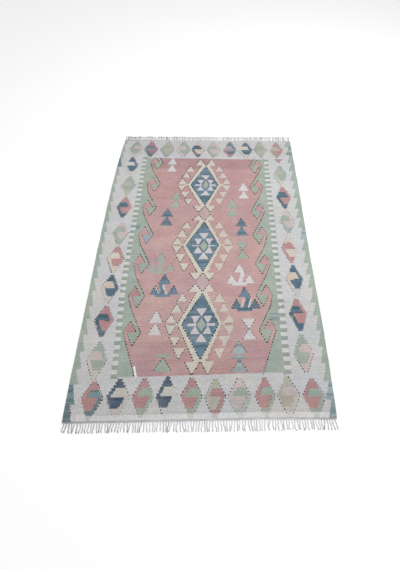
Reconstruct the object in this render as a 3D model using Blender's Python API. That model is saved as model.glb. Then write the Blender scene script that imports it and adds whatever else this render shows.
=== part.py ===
"""A flat-woven wool rug, laid out flat, with a fringe of warp ends across each end.

Metres, +Z up. The rug's length runs along Y, its near end at -Y and its far end at +Y.
The origin is the middle of the underside. Three pieces: the woven cloth, and at each end
a narrow heading with the locks of the fringe growing out of it.
"""

from typing import NamedTuple

import bmesh
import bpy
import numpy as np

# Driving sizes of the cloth
CLOTH_THICKNESS = 0.003
CLOTH_COLUMNS = 8
CLOTH_ROWS = 36
SELVEDGE_RIPPLE = 0.0006
SELVEDGE_RIPPLE_PITCH = 0.23

# Driving sizes of each end's heading and fringe
PARTING = 0.0003
HEADING_DEPTH = 0.008
FRINGE_REACH = 1.290
LOCKS = 100
LOCK_ROOT_WIDTH = 0.0050
LOCK_TIP_WIDTH = 0.0030
LOCK_TIP_HEIGHT = 0.0018
LOCK_SHORTFALL = 0.009
LOCK_LEAN = 0.0070
LOCK_SWAY = 0.0022
LOCK_MARGIN = 0.0045
LOCK_STAGES = (0.30, 0.65, 1.0)
NEAR_SEED = 41
FAR_SEED = 67


class Section(NamedTuple):
    """Where the two selvedges lie at one place along the rug."""

    along: float
    left: float
    right: float


class EndPoint(NamedTuple):
    """Where the two end edges lie at one place across the rug, 0 left to 1 right."""

    across: float
    near: float
    far: float


# The loom-woven cloth is a little wider in the middle of its left half and its ends dip
SECTIONS = (
    Section(along=-1.225, left=-0.7655, right=0.7835),
    Section(along=-1.10, left=-0.7710, right=0.7875),
    Section(along=-0.90, left=-0.7745, right=0.7915),
    Section(along=-0.60, left=-0.7785, right=0.7935),
    Section(along=-0.10, left=-0.7895, right=0.7880),
    Section(along=0.30, left=-0.7925, right=0.7880),
    Section(along=0.60, left=-0.7935, right=0.7895),
    Section(along=0.80, left=-0.7895, right=0.7875),
    Section(along=1.00, left=-0.7835, right=0.7850),
    Section(along=1.225, left=-0.7700, right=0.7825),
)

END_POINTS = (
    EndPoint(across=0.0, near=-1.2285, far=1.2240),
    EndPoint(across=0.25, near=-1.2265, far=1.2225),
    EndPoint(across=0.50, near=-1.2235, far=1.2205),
    EndPoint(across=0.75, near=-1.2195, far=1.2190),
    EndPoint(across=1.0, near=-1.2250, far=1.2180),
)


def column(table, name):
    """One named column of a table, as an array."""
    return np.array([getattr(row, name) for row in table])


def selvedges(along):
    """The left and right edges' X at a place along the rug, with a slight ripple."""
    known = column(SECTIONS, "along")
    turn = 2.0 * np.pi * along / SELVEDGE_RIPPLE_PITCH
    left = np.interp(along, known, column(SECTIONS, "left")) + SELVEDGE_RIPPLE * np.sin(turn)
    right = np.interp(along, known, column(SECTIONS, "right")) + SELVEDGE_RIPPLE * np.cos(turn)
    return left, right


def end_edge(across, name):
    """Y of the near or far edge at a share across the rug."""
    return np.interp(across, column(END_POINTS, "across"), column(END_POINTS, name))


def place(across, share):
    """The point of the cloth at a share across it and a share along it, as X and Y."""
    along = end_edge(across, "near") * (1.0 - share) + end_edge(across, "far") * share
    left, right = selvedges(along)
    return left + (right - left) * across, along


def wool(name, colour, roughness):
    """A plain woollen finish."""
    material = bpy.data.materials.new(name)
    material.use_nodes = True
    shader = material.node_tree.nodes["Principled BSDF"]
    shader.inputs["Base Color"].default_value = (*colour, 1.0)
    shader.inputs["Roughness"].default_value = roughness
    shader.inputs["Metallic"].default_value = 0.0
    return material


def add_object(name, mesh_builder, material):
    """A named object whose mesh is the finished bmesh, with its faces turned outward."""
    bmesh.ops.recalc_face_normals(mesh_builder, faces=mesh_builder.faces[:])
    mesh = bpy.data.meshes.new(name)
    mesh_builder.to_mesh(mesh)
    mesh_builder.free()
    mesh.materials.append(material)
    piece = bpy.data.objects.new(name, mesh)
    bpy.context.scene.collection.objects.link(piece)
    return piece


def make_cloth(material):
    """The cloth: a flat grid within the uneven outline, given its thickness by extrusion."""
    builder = bmesh.new()
    bmesh.ops.create_grid(builder, x_segments=CLOTH_COLUMNS, y_segments=CLOTH_ROWS, size=0.5)
    for vertex in builder.verts:
        x, y = place(vertex.co.x + 0.5, vertex.co.y + 0.5)
        vertex.co = (x, y, 0.0)
    raised = bmesh.ops.extrude_face_region(builder, geom=builder.faces[:], use_keep_orig=True)
    top = [item for item in raised["geom"] if isinstance(item, bmesh.types.BMVert)]
    bmesh.ops.translate(builder, verts=top, vec=(0.0, 0.0, CLOTH_THICKNESS))
    return add_object("cloth", builder, material)


def smooth_noise(chance, count):
    """Values from -1 to 1, each a blend of its neighbours' draws, so they change slowly."""
    draws = chance.uniform(-1.0, 1.0, count + 2)
    blended = 0.25 * draws[:-2] + 0.5 * draws[1:-1] + 0.25 * draws[2:]
    return blended / np.abs(blended).max()


def make_fringe(name, edge, outward, seed, material):
    """One end's heading strip, with the locks drawn out of its outer side one by one.

    The strip is a four-sided bar carried across the end in steps. Every second step's
    outer face is a root, and each root is extruded through the lock's stages. The locks
    lie level on the floor, thin towards their tips, and lean less than their spacing.
    """
    chance = np.random.default_rng(seed)
    centres = (np.arange(LOCKS) + 0.5) / LOCKS
    end_left, end_right = selvedges(end_edge(0.5, edge))
    end_width = end_right - end_left
    half_root = 0.5 * LOCK_ROOT_WIDTH / end_width
    inset = LOCK_MARGIN / end_width
    centres = inset + centres * (1.0 - 2.0 * inset)
    stations = np.concatenate(([0.0], np.ravel(np.column_stack((centres - half_root,
                                                               centres + half_root))), [1.0]))
    lean = LOCK_LEAN * smooth_noise(chance, LOCKS)
    sway = LOCK_SWAY * smooth_noise(chance, LOCKS)
    shortfall = LOCK_SHORTFALL * np.abs(smooth_noise(chance, LOCKS))
    shortfall -= shortfall.min()

    builder = bmesh.new()
    bars = []
    for station in stations:
        x, y = place(station, 0.0 if edge == "near" else 1.0)
        inner = y + outward * PARTING
        outer = inner + outward * HEADING_DEPTH
        bars.append([builder.verts.new(corner) for corner in (
            (x, inner, 0.0),
            (x, inner, CLOTH_THICKNESS),
            (x, outer, CLOTH_THICKNESS),
            (x, outer, 0.0),
        )])
    roots = []
    for step, (bar, following) in enumerate(zip(bars[:-1], bars[1:])):
        for side in range(4):
            after = (side + 1) % 4
            face = builder.faces.new((bar[side], bar[after], following[after], following[side]))
            if side == 2 and step % 2 == 1:
                roots.append(face)
    builder.faces.new(bars[0])
    builder.faces.new(bars[-1])

    for lock, face in enumerate(roots):
        root = face.calc_center_median()
        run = outward * FRINGE_REACH - outward * shortfall[lock] - root.y
        for stage in LOCK_STAGES:
            face = bmesh.ops.extrude_discrete_faces(builder, faces=[face])["faces"][0]
            middle = face.calc_center_median()
            width = LOCK_ROOT_WIDTH + (LOCK_TIP_WIDTH - LOCK_ROOT_WIDTH) * stage
            height = CLOTH_THICKNESS + (LOCK_TIP_HEIGHT - CLOTH_THICKNESS) * stage
            drift = lean[lock] * stage + sway[lock] * np.sin(2.0 * np.pi * stage)
            for vertex in face.verts:
                side = 0.5 if vertex.co.x > middle.x else -0.5
                level = height if vertex.co.z > middle.z else 0.0
                vertex.co = (root.x + drift + side * width, root.y + run * stage, level)
    return add_object(name, builder, material)


def main():
    for item in list(bpy.data.objects):
        bpy.data.objects.remove(item, do_unlink=True)
    rose_wool = wool("rose_wool", (0.48, 0.25, 0.24), 0.92)
    undyed_yarn = wool("undyed_yarn", (0.78, 0.77, 0.75), 0.90)
    make_cloth(rose_wool)
    make_fringe("near_fringe", "near", -1.0, NEAR_SEED, undyed_yarn)
    make_fringe("far_fringe", "far", 1.0, FAR_SEED, undyed_yarn)


main()
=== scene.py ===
# %% [markdown]
# # A kilim rug, laid out flat
# The rug is a flat weave: coloured weft yarns are beaten down so hard that they hide the
# warps, and each colour turns back at the edge of its motif. Nothing is printed on it, so its
# pattern is built here the way a weaver reads it, cell by cell, from motifs with plain names.
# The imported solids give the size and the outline, and this file gives the finish.

from typing import NamedTuple

import bpy
import numpy as np
from mathutils import Matrix


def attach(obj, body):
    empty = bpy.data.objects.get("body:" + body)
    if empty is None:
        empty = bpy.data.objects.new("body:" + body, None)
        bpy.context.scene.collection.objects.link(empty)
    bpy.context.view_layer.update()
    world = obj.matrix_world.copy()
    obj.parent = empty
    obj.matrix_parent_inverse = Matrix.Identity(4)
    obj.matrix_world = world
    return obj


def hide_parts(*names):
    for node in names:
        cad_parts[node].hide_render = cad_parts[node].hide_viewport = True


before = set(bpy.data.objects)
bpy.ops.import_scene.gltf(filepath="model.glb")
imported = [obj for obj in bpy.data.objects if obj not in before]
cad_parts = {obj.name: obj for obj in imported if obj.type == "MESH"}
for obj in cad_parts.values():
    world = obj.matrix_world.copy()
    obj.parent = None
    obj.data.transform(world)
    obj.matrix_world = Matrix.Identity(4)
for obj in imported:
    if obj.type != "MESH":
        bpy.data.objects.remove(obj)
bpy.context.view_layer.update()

# %% [markdown]
# ## The camera
# A rug is best read from above, so it is seen from its near end, looking down steeply. The
# lens is a wide one, close by: that is why the far end looks so much narrower. The camera's
# turn is given as three plain angles, and worked into a matrix here.

# %% Camera
CAMERA_PLACE = (0.132, -1.492, 1.971)
CAMERA_DIP = np.radians(59.81)
CAMERA_TURN = np.radians(2.34)
CAMERA_ROLL = np.radians(1.78)
CAMERA_LENS = 20.52
CAMERA_SENSOR = 36.0
FRAMING_SHIFT = -0.0502


def camera_turn(dip, turn, roll):
    """Axes of a camera that looks dip below level, turned to the right and rolled by angles."""
    forward = np.array([np.sin(turn) * np.cos(dip), np.cos(turn) * np.cos(dip), -np.sin(dip)])
    level = np.array([np.cos(turn), -np.sin(turn), 0.0])
    upright = np.cross(level, forward)
    right = np.cos(roll) * level + np.sin(roll) * upright
    up = np.cos(roll) * upright - np.sin(roll) * level
    return Matrix(np.column_stack((right, up, -forward)).tolist()).to_4x4()


camera = bpy.data.objects.new("camera", bpy.data.cameras.new("camera"))
camera.data.sensor_width = CAMERA_SENSOR
camera.data.lens = CAMERA_LENS
camera.data.shift_x = FRAMING_SHIFT
camera.matrix_world = Matrix.Translation(CAMERA_PLACE) @ camera_turn(CAMERA_DIP, CAMERA_TURN, CAMERA_ROLL)
bpy.context.scene.collection.objects.link(camera)
bpy.context.scene.camera = camera
print("camera height", CAMERA_PLACE[2], "lens", CAMERA_LENS)

# %% [markdown]
# ## Shader maths
# A material's nodes are easier to read as sums. `Wire` wraps a socket and turns `a * b + 1`
# into Math nodes, and `Bench` makes every other node through one method.

# %% Wires and the bench
COLOUR_RESULT = 2
COLOUR_A = 6
COLOUR_B = 7


class Wire:
    """One output socket of a material, on which plain arithmetic adds Math nodes."""

    def __init__(self, bench, socket):
        self.bench = bench
        self.socket = socket

    def math(self, operation, *values):
        return self.bench.node("ShaderNodeMath", {"operation": operation}, dict(enumerate(values)))

    def math_of(self, operation):
        return self.math(operation, self)

    def __add__(self, other):
        return self.math("ADD", self, other)

    def __sub__(self, other):
        return self.math("SUBTRACT", self, other)

    def __rsub__(self, other):
        return self.math("SUBTRACT", other, self)

    def __mul__(self, other):
        return self.math("MULTIPLY", self, other)

    __radd__ = __add__
    __rmul__ = __mul__


class Bench:
    """A new material and the one way in which nodes are put into it."""

    def __init__(self, name):
        self.material = bpy.data.materials.new(name)
        self.material.use_nodes = True
        self.tree = self.material.node_tree
        self.shader = self.tree.nodes["Principled BSDF"]
        self.place = self.node("ShaderNodeTexCoord", output="Object")

    def node(self, kind, settings=None, inputs=None, output=0):
        """Adds a node: its settings first, then a value or a wire for each socket."""
        made = self.tree.nodes.new(kind)
        for name, value in (settings or {}).items():
            setattr(made, name, value)
        self.feed(made, inputs or {})
        return Wire(self, made.outputs[output])

    def feed(self, made, inputs):
        """Sets sockets by name or number, to a value or from a wire."""
        for name, value in inputs.items():
            if isinstance(value, Wire):
                self.tree.links.new(value.socket, made.inputs[name])
            else:
                made.inputs[name].default_value = value

    def parts(self):
        """The X and the Y of the place on the rug, in metres."""
        across = self.node("ShaderNodeSeparateXYZ", {}, {"Vector": self.place})
        return across, Wire(self, across.socket.node.outputs[1])

    def kept(self, name, output):
        """What the mesh keeps under a name for its faces or points."""
        return self.node("ShaderNodeAttribute", {"attribute_name": name}, output=output)

    def noise(self, stretch, detail=2.0, roughness=0.5):
        """Noise around 0, whose cells are 1/stretch metres along X, Y and Z."""
        scaled = self.node("ShaderNodeVectorMath", {"operation": "MULTIPLY"},
                           {0: self.place, 1: stretch})
        level = self.node("ShaderNodeTexNoise", {}, {"Vector": scaled, "Scale": 1.0,
                                                     "Detail": detail, "Roughness": roughness})
        return level - 0.5

    def scale(self, colour, factor):
        """A colour made brighter or darker by a factor."""
        return self.node("ShaderNodeVectorMath", {"operation": "SCALE"}, {0: colour, "Scale": factor})

    def mix(self, factor, first, second):
        """A blend from the first colour, at 0, to the second, at 1."""
        return self.node("ShaderNodeMix", {"data_type": "RGBA"},
                         {0: factor, COLOUR_A: first, COLOUR_B: second}, COLOUR_RESULT)

    def bump(self, height, distance, strength):
        """A normal that follows a height, of which 1 stands distance metres proud."""
        return self.node("ShaderNodeBump", {}, {"Height": height, "Distance": distance,
                                                "Strength": strength})


def linear(colour):
    """Linear light of a colour that is given as it looks on a screen, 0 to 1 a channel."""
    colour = np.asarray(colour, float)
    return np.where(colour <= 0.04045, colour / 12.92, ((colour + 0.055) / 1.055) ** 2.4)


# %% [markdown]
# ## Floor and light
# The floor is plain and nearly white. One pale sky lights everything evenly, and a wide panel
# above, a little to the right, gives each yarn and the rug's edge a soft shadow.

# %% Floor and light
FLOOR_HALF = 14.0
FLOOR_DROP = 0.0004
FLOOR_SHADE = (0.95, 0.95, 0.95)
FLOOR_CLOUDS = (1.1, 1.1, 1.1)
FLOOR_MOTTLE = 0.01
SKY_COLOUR = (1.0, 1.0, 1.0)
SKY_STRENGTH = 0.86
PANEL_SIZE = 3.2
PANEL_PLACE = (1.6, 0.9, 3.4)
PANEL_POWER = 70.0

bpy.context.scene.view_settings.view_transform = "Standard"


def make_floor():
    """A level square a hair below the rug's underside."""
    corners = [(-FLOOR_HALF, -FLOOR_HALF), (FLOOR_HALF, -FLOOR_HALF),
               (FLOOR_HALF, FLOOR_HALF), (-FLOOR_HALF, FLOOR_HALF)]
    mesh = bpy.data.meshes.new("floor")
    mesh.from_pydata([(x, y, -FLOOR_DROP) for x, y in corners], [], [(0, 1, 2, 3)])
    bench = Bench("pale_floor")
    shade = bench.scale(FLOOR_SHADE, 1.0 + bench.noise(FLOOR_CLOUDS) * FLOOR_MOTTLE)
    bench.feed(bench.shader, {"Base Color": shade, "Roughness": 0.85, "Specular IOR Level": 0.2})
    mesh.materials.append(bench.material)
    floor = bpy.data.objects.new("floor", mesh)
    bpy.context.scene.collection.objects.link(floor)
    return floor


def make_light():
    """An even sky, and one soft panel that faces the middle of the rug."""
    world = bpy.data.worlds.new("pale_sky")
    bpy.context.scene.world = world
    world.use_nodes = True
    sky = world.node_tree.nodes["Background"]
    sky.inputs["Color"].default_value = (*SKY_COLOUR, 1.0)
    sky.inputs["Strength"].default_value = SKY_STRENGTH
    panel = bpy.data.objects.new("panel", bpy.data.lights.new("panel", "AREA"))
    panel.data.size = PANEL_SIZE
    panel.data.energy = PANEL_POWER
    away = np.array(PANEL_PLACE) / np.linalg.norm(PANEL_PLACE)
    side = np.cross((0.0, 1.0, 0.0), away)
    side /= np.linalg.norm(side)
    turn = Matrix(np.column_stack((side, np.cross(away, side), away)).tolist()).to_4x4()
    panel.matrix_world = Matrix.Translation(PANEL_PLACE) @ turn
    bpy.context.scene.collection.objects.link(panel)


floor = make_floor()
make_light()
print("floor at", -FLOOR_DROP)

# %% [markdown]
# ## The outline
# No hand-woven rug is a true rectangle. The weft pulls the warps in more in some places than
# in others, so this one is a little wider in its far half, and its ends dip. The tables repeat
# the ones that the solids were built from, so the finished cloth covers its solid exactly.

# %% Outline of the cloth
CLOTH_THICKNESS = 0.003
SELVEDGE_RIPPLE = 0.0006
SELVEDGE_RIPPLE_PITCH = 0.23


class Section(NamedTuple):
    """Where the two selvedges lie at one place along the rug, in metres."""

    along: float
    left: float
    right: float


class EndPoint(NamedTuple):
    """Where the two end edges lie at one place across the rug, 0 left to 1 right."""

    across: float
    near: float
    far: float


SECTIONS = (
    Section(along=-1.225, left=-0.7655, right=0.7835),
    Section(along=-1.10, left=-0.7710, right=0.7875),
    Section(along=-0.90, left=-0.7745, right=0.7915),
    Section(along=-0.60, left=-0.7785, right=0.7935),
    Section(along=-0.10, left=-0.7895, right=0.7880),
    Section(along=0.30, left=-0.7925, right=0.7880),
    Section(along=0.60, left=-0.7935, right=0.7895),
    Section(along=0.80, left=-0.7895, right=0.7875),
    Section(along=1.00, left=-0.7835, right=0.7850),
    Section(along=1.225, left=-0.7700, right=0.7825),
)

END_POINTS = (
    EndPoint(across=0.0, near=-1.2285, far=1.2240),
    EndPoint(across=0.25, near=-1.2265, far=1.2225),
    EndPoint(across=0.50, near=-1.2235, far=1.2205),
    EndPoint(across=0.75, near=-1.2195, far=1.2190),
    EndPoint(across=1.0, near=-1.2250, far=1.2180),
)

# How far a row rises from the left selvedge to the right, in metres, at shares of the length
TILT_SHARES = (0.0, 0.1, 0.9, 1.0)
ROW_TILTS = (0.0, 0.022, -0.019, 0.0)


def column(table, name):
    """One named column of a table, as an array."""
    return np.array([getattr(row, name) for row in table])


def selvedges(along):
    """The left and right edges' X at a place along the rug: the table's value plus a ripple."""
    known = column(SECTIONS, "along")
    turn = 2.0 * np.pi * along / SELVEDGE_RIPPLE_PITCH
    left = np.interp(along, known, column(SECTIONS, "left")) + SELVEDGE_RIPPLE * np.sin(turn)
    right = np.interp(along, known, column(SECTIONS, "right")) + SELVEDGE_RIPPLE * np.cos(turn)
    return left, right


def end_edge(across, name):
    """Y of the near or far edge at a share across the rug."""
    return np.interp(across, column(END_POINTS, "across"), column(END_POINTS, name))


def place_on_cloth(across, share):
    """X and Y at a share across the cloth and a share along it, near end 0 and far end 1. The
    row's tilt rises across the cloth, and is nothing at either end."""
    along = end_edge(across, "near") * (1.0 - share) + end_edge(across, "far") * share
    along = along + np.interp(share, TILT_SHARES, ROW_TILTS) * (across - 0.5)
    left, right = selvedges(along)
    return left + (right - left) * across, along


# %% [markdown]
# ## The loom's grid
# A kilim's edges are stepped, because a colour can only turn back at a warp. Each cell of the
# grid is one or two warps wide and about seven picks of weft high. A weaver beats one side
# harder than the other now and then, so the rows tilt a little, one way near each end. The
# weaver turns back every second row only, so the slanting edges of all but the smallest motifs
# go by the middle of two rows.

# %% Cells
CELL_COLUMNS = 286
CELL_ROWS = 272
SELVEDGE_STEPS = (0.0007, 0.0022, 0.0046)
END_STEPS = (0.0009, 0.0034)
CM = 0.01
PATTERN_MIDDLE = 0.0075


def stations(count, length, steps):
    """Shares from 0 to 1: a few narrow steps at each end, and even ones between."""
    narrow = np.array(steps) / length
    inner = np.linspace(narrow[-1], 1.0 - narrow[-1], count + 1 - 2 * len(steps))
    return np.concatenate(([0.0], narrow[:-1], inner, 1.0 - narrow[:-1][::-1], [1.0]))


CLOTH_WIDTH = SECTIONS[5].right - SECTIONS[5].left
CLOTH_LENGTH = END_POINTS[2].far - END_POINTS[2].near
column_shares = stations(CELL_COLUMNS, CLOTH_WIDTH, SELVEDGE_STEPS)
row_shares = stations(CELL_ROWS, CLOTH_LENGTH, END_STEPS)
cell_across, cell_share = np.meshgrid(0.5 * (column_shares[:-1] + column_shares[1:]),
                                      0.5 * (row_shares[:-1] + row_shares[1:]))
cell_x, cell_y = place_on_cloth(cell_across, cell_share)
cell_x = (cell_x - PATTERN_MIDDLE) / CM
cell_y = cell_y / CM
step_y = 0.5 * (cell_y[0::2] + cell_y[1::2]).repeat(2, axis=0)
print("cells", cell_x.shape, "of", round(CLOTH_WIDTH / CELL_COLUMNS * 1000, 1), "by",
      round(CLOTH_LENGTH / CELL_ROWS * 1000, 1), "mm")

# %% [markdown]
# ## The dyes
# The wools are washed-out plant and madder shades. Their colours are given as they look in this
# scene's light, 0 to 255 a channel. They are turned into linear light once, and divided by the
# light's own level, which leaves what the wool itself reflects.

# %% Dyed wools
LIGHT_LEVEL = 1.22
DYES = {
    "undyed": (201, 201, 202),
    "chalk": (209, 211, 208),
    "white": (220, 220, 220),
    "bleached": (252, 249, 248),
    "ivory": (209, 206, 207),
    "lavender": (206, 198, 201),
    "cream": (206, 201, 187),
    "warm_cream": (205, 195, 183),
    "faint_cream": (199, 197, 188),
    "khaki": (181, 177, 162),
    "umber": (156, 142, 128),
    "peach": (206, 190, 176),
    "faint_peach": (199, 192, 187),
    "pale_pink": (198, 184, 183),
    "mauve": (178, 156, 168),
    "faded": (190, 166, 166),
    "madder": (190, 153, 152),
    "top_madder": (176, 138, 139),
    "rose_madder": (186, 147, 148),
    "light_madder": (194, 160, 157),
    "low_madder": (186, 150, 150),
    "deep_madder": (181, 138, 138),
    "wine": (171, 126, 136),
    "sage": (160, 172, 161),
    "comb_sage": (150, 160, 151),
    "pale_sage": (178, 187, 177),
    "teal": (110, 132, 138),
    "sea": (147, 163, 166),
    "pale_blue": (155, 170, 178),
    "blue": (94, 121, 139),
    "deep_blue": (80, 106, 124),
    "navy": (74, 92, 112),
}
DYE_NAMES = list(DYES)
dye_table = linear(np.array([DYES[name] for name in DYE_NAMES]) / 255.0) / LIGHT_LEVEL
print("dyes", len(DYE_NAMES))

# %% [markdown]
# ## The weaver's cartoon
# The pattern is a cartoon on the grid: for each cell, the number of its dye. Motifs are laid
# over each other in order, ground first, as polygons whose corners are in centimetres from the
# middle of the pattern. The dark yarn that outlines some motifs is wrapped round the warps
# stitch by stitch, so its stitches are kept as a list of places along each contour. Their
# near-black is partly painted: it also stands for the shadow in the slit at each step.

# %% Cartoon
STITCH_GAP = 1.8


def inside(corners, edge_y):
    """Cells inside a polygon: a line to the left meets its edges an odd number of times. Level
    edges are met at each row's own height, and slanting edges at the heights that are given."""
    hit = np.zeros(cell_x.shape, bool)
    for (x0, y0), (x1, y1) in zip(corners, corners[1:] + corners[:1]):
        if y0 != y1:
            crosses = (y0 > cell_y) != (y1 > cell_y)
            height = np.clip(edge_y, min(y0, y1), max(y0, y1))
            hit ^= crosses & (cell_x < (x1 - x0) * (height - y0) / (y1 - y0) + x0)
    return hit


class Cartoon:
    """The dye of each cell, and the dark stitches, with painted slit shadow, as x, y, slope and strength.
    """

    def __init__(self):
        self.dye = np.full(cell_x.shape, DYE_NAMES.index("undyed"))
        self.stitches = []

    def fill(self, mask, dye):
        self.dye[mask] = DYE_NAMES.index(dye)

    def polygon(self, corners, dye, mask=True, fine=False):
        self.fill(inside(list(corners), cell_y if fine else step_y) & mask, dye)

    def bar(self, left, right, top, bottom, dye):
        self.polygon([(left, top), (right, top), (right, bottom), (left, bottom)], dye)

    def contour(self, points, strength):
        """Stitches down each leg, one for each step that the leg takes along the rug."""
        for (x0, y0), (x1, y1) in zip(points[:-1], points[1:]):
            count = max(1, int(round(abs(y1 - y0) / STITCH_GAP)))
            slope = (x1 - x0) / (y1 - y0) if y1 != y0 else 0.0
            for t in (np.arange(count) + 0.5) / count:
                self.stitches.append((x0 + (x1 - x0) * t, y0 + (y1 - y0) * t, slope, strength))


cartoon = Cartoon()

# %% [markdown]
# ## Field, bands and border ground
# The madder field is woven from several lots of wool, one after the other. A strip of whiter
# wool finishes the near end. Along each selvedge a row of saw teeth points into the border.

# %% Ground of the rug
FIELD_SHARES = (0.1012, 0.8992)
FIELD_SIDES = (-54.5, 50.3)
FIELD_LOTS = ((84, "top_madder"), (47, "rose_madder"), (8, "madder"), (-4, "light_madder"),
              (-44, "madder"), (-76, "light_madder"), (-100, "low_madder"))
END_STRIP = 3.4

field = (cell_x > FIELD_SIDES[0]) & (cell_x < FIELD_SIDES[1])
field &= (cell_share > FIELD_SHARES[0]) & (cell_share < FIELD_SHARES[1])
for bottom, wool in reversed(FIELD_LOTS):
    cartoon.fill(field & (cell_y > bottom), wool)
end_strip = cell_y - end_edge(cell_across, "near") / CM < END_STRIP
cartoon.fill(end_strip, "white")
print("field cells", int(field.sum()), "end strip cells", int(end_strip.sum()))

# %% [markdown]
# ## Repeats, and the weaver's eye
# Nearly everything on this rug is a repeat: a motif has one form and comes back at an even
# pitch. A weaver doesn't measure, though, so each place and size is a little off. The even
# value comes from a rule here, and how far off it is from one chain of seeded draws.

# %% Repeats
HAND_SEED = 3
hand_draws = np.random.default_rng(HAND_SEED)


def uneven(amount, count):
    """So many small differences, each at most the amount up or down."""
    return hand_draws.uniform(-amount, amount, count)


def repeats(first, last, count, amount):
    """Places from first to last: evenly spaced, and each at most the amount off."""
    return np.linspace(first, last, count) + uneven(amount, count)


# %% Saw teeth along the selvedges
TEETH_REACH = 124.0
TOOTH_OFF = 0.9
TOOTH_STRENGTH = 0.9


class ToothRow(NamedTuple):
    """Saw teeth along one selvedge: the length of the first at the far end, how many follow,
    the odd wool and the numbers of the teeth in it, and the narrow and wide widths at the near
    and the far end."""

    side: int
    first: float
    following: int
    wool: str
    odd: tuple
    narrow: tuple
    wide: tuple


TOOTH_ROWS = (
    ToothRow(-1, 6.0, 23, "teal", (3, 22, 23), (2.5, 1.3), (5.4, 3.6)),
    ToothRow(1, 11.0, 22, "sea", (1, 10, 21, 22), (2.0, 2.6), (5.0, 6.6)),
)


def weave_teeth(row):
    """Each tooth widens evenly towards the near end, and then jumps back to its narrow width."""
    left, right = selvedges(cell_y * CM)
    edge = (left if row.side < 0 else right) - PATTERN_MIDDLE
    inward = -row.side * (cell_x - edge / CM)
    narrow = np.interp(cell_y, (-TEETH_REACH, TEETH_REACH), row.narrow)
    wide = np.interp(cell_y, (-TEETH_REACH, TEETH_REACH), row.wide)
    inner_ends = repeats(TEETH_REACH - row.first, -TEETH_REACH, row.following + 1, TOOTH_OFF)[:-1]
    ends = [TEETH_REACH, *inner_ends, -TEETH_REACH]
    for number, (start, end) in enumerate(zip(ends[:-1], ends[1:])):
        down = (start - cell_y) / (start - end)
        tooth = (down > 0.0) & (down <= 1.0) & (inward < narrow + (wide - narrow) * down)
        cartoon.fill(tooth, row.wool if number in row.odd else "sage")
    return ends


tooth_ends = [weave_teeth(row) for row in TOOTH_ROWS]
corner = (selvedges(-TEETH_REACH * CM)[0] - PATTERN_MIDDLE) / CM
cartoon.contour([(corner + TOOTH_ROWS[0].narrow[0], tooth_ends[0][-2]),
                 (corner + TOOTH_ROWS[0].wide[0], -TEETH_REACH)], TOOTH_STRENGTH)
print("saw teeth", sum(len(ends) - 1 for ends in tooth_ends))

# %% [markdown]
# ## The hooked bands
# Down each side of the field runs a sage band with a comb of short teeth on its outer side. On
# its inner side it has a row of running hooks: a slanting stem leaves the band, ends in a point,
# and curls back as a small triangle. All have one charted form, which is mirrored for the
# other side, and their points stand at an even pitch. The field's end cuts the first one short.
# A slit near the left band's foot shows bleached yarn.

# %% Hooks
HOOKS = 7
HOOK_STEM = 17.0
HOOK_SHOULDER = 8.4
HOOK_BACK = 8.6
HOOK_FOOT = 4.6
HOOK_DROP = 9.0
EYE_HIGH = 8.5
EYE_TOP = 7.5
EYE_IN = 2.8
EYE_OUT = 11.3
EYE_LIFT = 0.4
HOOK_OFF = 0.8
STEM_OFF = 1.4
FIELD_END = 98.5
BAND_TOP = 99.0
BAND_BOTTOM = -99.5
BAND_ROOT = ((3.0, -91.0), (0.6, -98.0))
BLUE_HOOK = 3
DEEP_EYES_FROM = 5
STEM_STRENGTH = 1.0
EYE_STRENGTHS = (0.95, 0.65)
BACK_STRENGTH = 0.75
BAND_STRENGTH = 0.9
BLEACHED_SLIT = ((-42, -92), (-41, -92), (-39, -98), (-40, -98))


class Corners(NamedTuple):
    """The corners of one hook: its stem's shoulder and tip, its triangle and its eye."""

    shoulder: tuple
    tip: tuple
    back: tuple
    foot: tuple
    eye_top: tuple
    eye_in: tuple
    eye_out: tuple


class Band(NamedTuple):
    """One side's band: how far out its outer edge lies, how much that draws in towards the near
    end, how far its comb stands out, how far out the hooks' points are, the first and the last
    point's height, the comb's first and last tooth and their number, and a patch of other wool
    as left, right, top and bottom."""

    side: int
    outer: float
    taper: float
    reach: float
    out: float
    first: float
    last: float
    comb: tuple
    patch: tuple


BANDS = (
    Band(-1, 54.5, 3.8, 3.6, 40.0, 92.0, -70.5, (97.5, -98.0, 38), (-54.5, -51.0, 20.0, 13.0)),
    Band(1, 50.4, 0.0, 4.1, 36.5, 87.0, -69.0, (94.5, -96.0, 36), (44.5, 50.5, -57.0, -62.0)),
)

TAPER_FROM = -30.0
COMB_HEIGHT = 2.7
COMB_OFF = 0.25
COMB_ROOT = 0.8
COMB_END = 98.0
COMB_BEYOND = 0.3
MARKED_FROM = -45.0
MARKED_SHARE = 0.5
MARK_HALF = 1.1
MARK_STRENGTH = 0.75


def hook_corners(x, y, side):
    """Corners of a hook, each so far out from its point and so far above or below it. Its stem
    keeps its slant, also where the field's end cuts it short."""
    stem = min(HOOK_STEM + float(uneven(STEM_OFF, 1)[0]), FIELD_END - y)
    eye = min(EYE_HIGH, FIELD_END - y)
    places = ((HOOK_SHOULDER * stem / HOOK_STEM, stem), (0.0, 0.0), (HOOK_BACK, 0.0),
              (HOOK_FOOT, -HOOK_DROP), (EYE_TOP, eye), (EYE_IN, EYE_LIFT), (EYE_OUT, EYE_LIFT))
    return Corners(*[(x + side * out, y + up) for out, up in places])


def outer_edge(band, y):
    """How far out the band's outer edge lies at a height: it draws in towards the near end."""
    return np.interp(y, (-FIELD_END, TAPER_FROM), (band.outer - band.taper, band.outer))


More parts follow.
